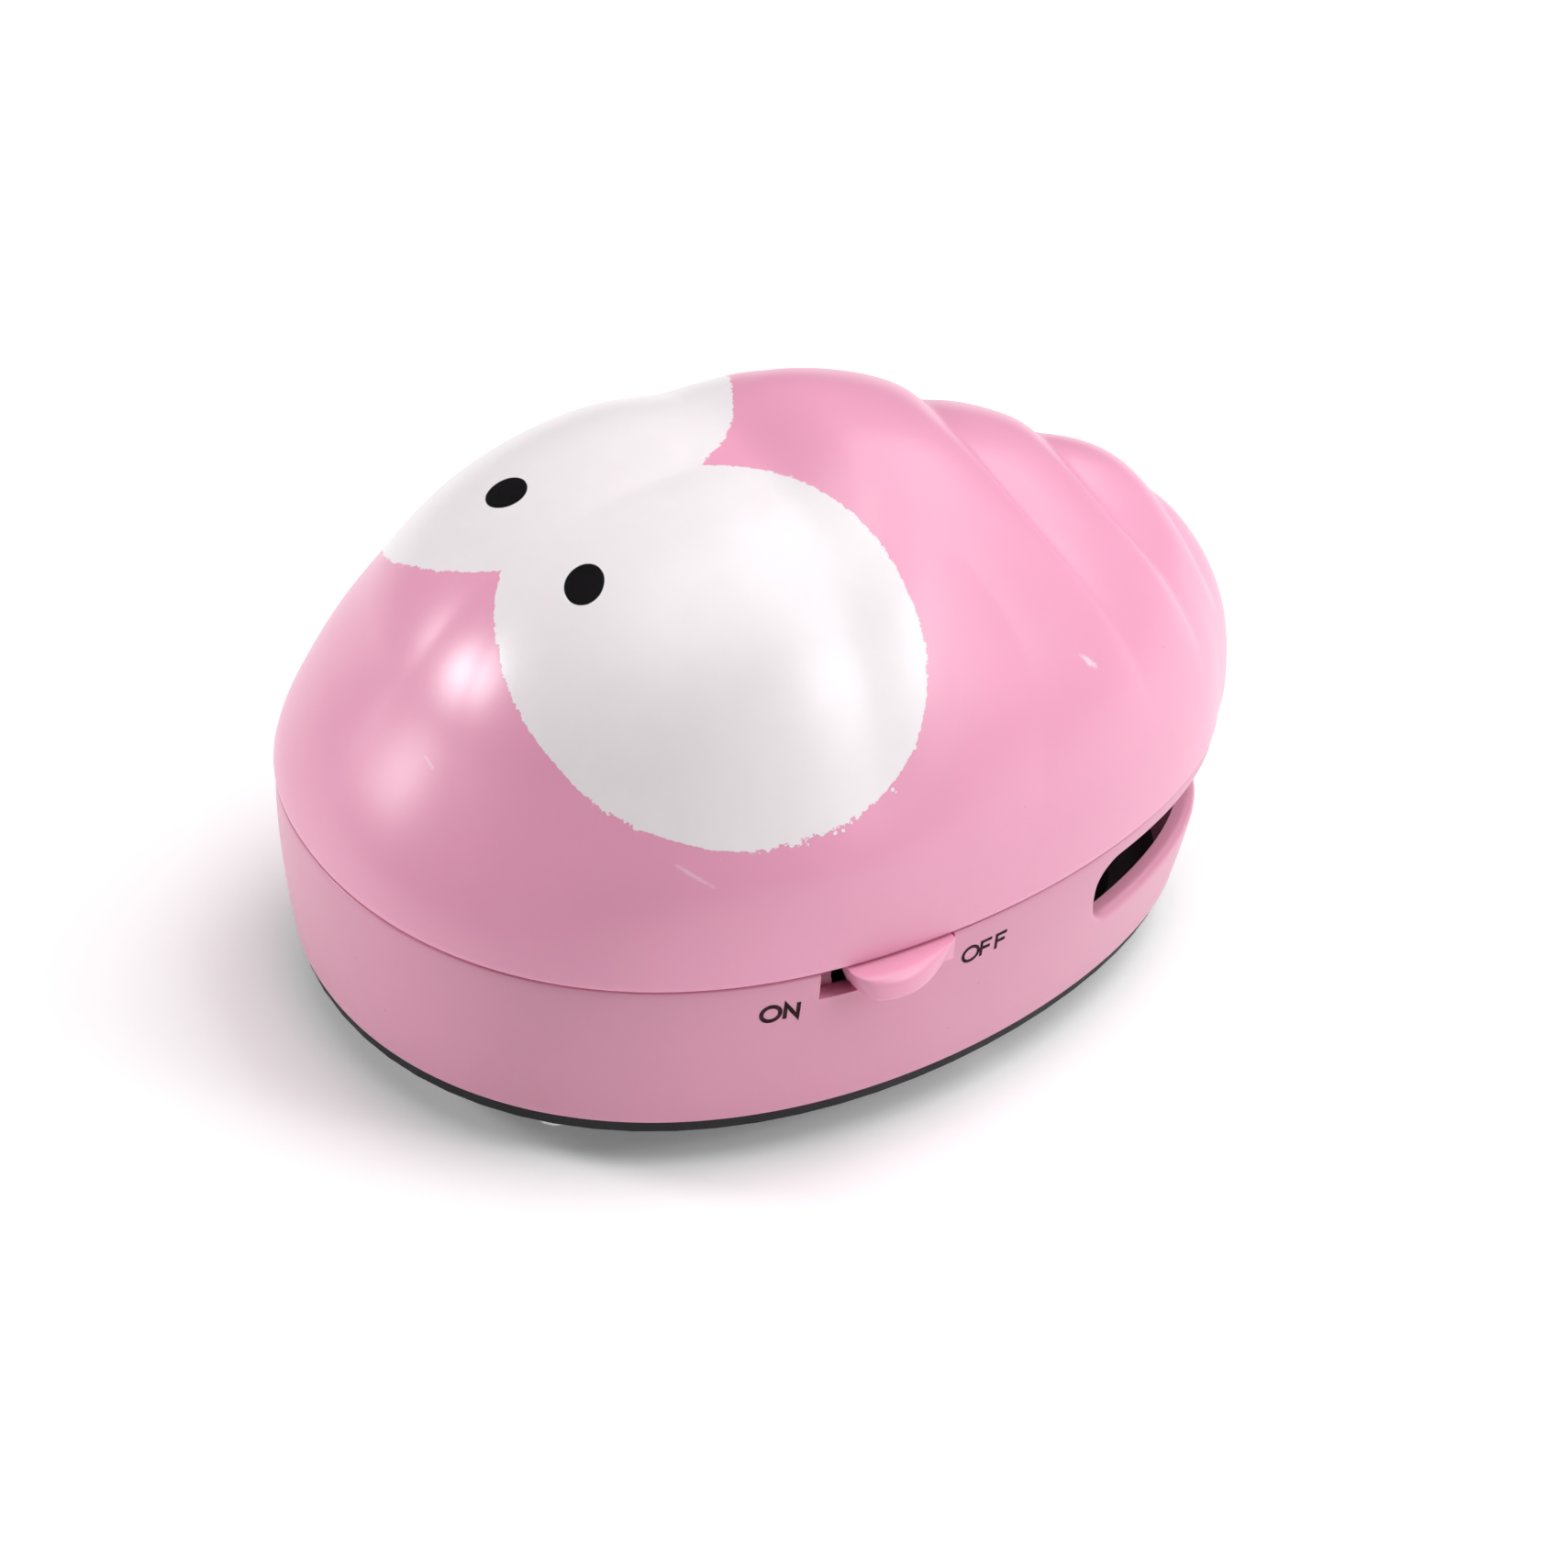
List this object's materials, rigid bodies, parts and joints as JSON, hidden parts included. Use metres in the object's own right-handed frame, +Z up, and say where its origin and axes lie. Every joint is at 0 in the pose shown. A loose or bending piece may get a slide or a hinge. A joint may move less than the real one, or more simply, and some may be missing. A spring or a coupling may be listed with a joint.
{
  "type": "desktop crumb vacuum",
  "caption": "Egg-shaped cartoon-creature desktop crumb vacuum: lift-off dome with eyes, tub with slide switch, rear exhaust slot, suction mouth, fan and cells inside",
  "frame": {"origin": "on the table under the middle of the whole object's outline, thumb tab included", "axes": "+Z up, the face looks along -Y, the tail points to +Y, the switch is on the +X side"},
  "size_m": [0.0814, 0.1104, 0.0689],
  "materials": {
    "pink_abs_lid": "glossy moulded ABS with white and black painted eyes",
    "pink_abs_tub": "glossy moulded ABS",
    "white_abs": "satin moulded ABS",
    "black_abs": "satin moulded ABS",
    "steel": "bright plated steel",
    "brass": "plain brass strip",
    "nylon": "stiff nylon tufts",
    "foam_rubber": "matt foam rubber",
    "filter_cloth": "non-woven cloth",
    "cell_sleeve": "printed film sleeve, no lettering"
  },
  "bodies": {
    "base": {"base_shell": "pink_abs_tub", "base_plate": "black_abs", "inner_deck": "white_abs", "suction_duct": "white_abs", "brush_front": "nylon", "brush_rear": "nylon", "foot_pad_1": "foam_rubber", "foot_pad_2": "foam_rubber", "foot_pad_3": "foam_rubber", "foot_pad_4": "foam_rubber", "battery_1": "cell_sleeve", "battery_2": "cell_sleeve", "contact_spring_1": "steel", "contact_spring_2": "steel", "contact_link": "steel", "contact_minus": "steel", "contact_plus": "steel", "motor_can": "steel", "motor_end_cap": "black_abs", "motor_terminal_1": "brass", "motor_terminal_2": "brass", "fan_housing": "black_abs", "switch_body": "steel", "case_screw_1": "steel", "case_screw_2": "steel", "case_screw_3": "steel", "case_screw_4": "steel", "deck_screw_1": "steel", "deck_screw_2": "steel", "deck_screw_3": "steel", "deck_screw_4": "steel"},
    "lid": {"top_shell": "pink_abs_lid"},
    "filter": {"filter_ring": "white_abs", "filter_cone": "filter_cloth", "filter_cap": "white_abs"},
    "battery_cover": {"battery_door": "black_abs"},
    "rotor": {"impeller": "white_abs", "motor_shaft": "steel"},
    "switch": {"switch_knob": "pink_abs_lid", "switch_lever": "black_abs"}
  },
  "joints": [
    {"name": "lid_lift", "type": "slide", "parent": "base", "child": "lid", "axis": [0, 0, 1], "range_m": [0, 0.06]},
    {"name": "filter_lift", "type": "slide", "parent": "base", "child": "filter", "axis": [0, 0, 1], "range_m": [0, 0.006]},
    {"name": "battery_cover_hinge", "type": "hinge", "parent": "base", "child": "battery_cover", "pos_m": [-0.00166, -0.00049, 0.0056], "axis": [1, 0, 0], "range_deg": [0, 80]},
    {"name": "fan_spin", "type": "hinge", "parent": "base", "child": "rotor", "pos_m": [-0.00166, 0.02121, 0.0125], "axis": [0, 0, 1], "continuous": true},
    {"name": "switch_slide", "type": "slide", "parent": "base", "child": "switch", "axis": [0.101, -0.9949, 0], "range_m": [0, 0.003]}
  ]
}
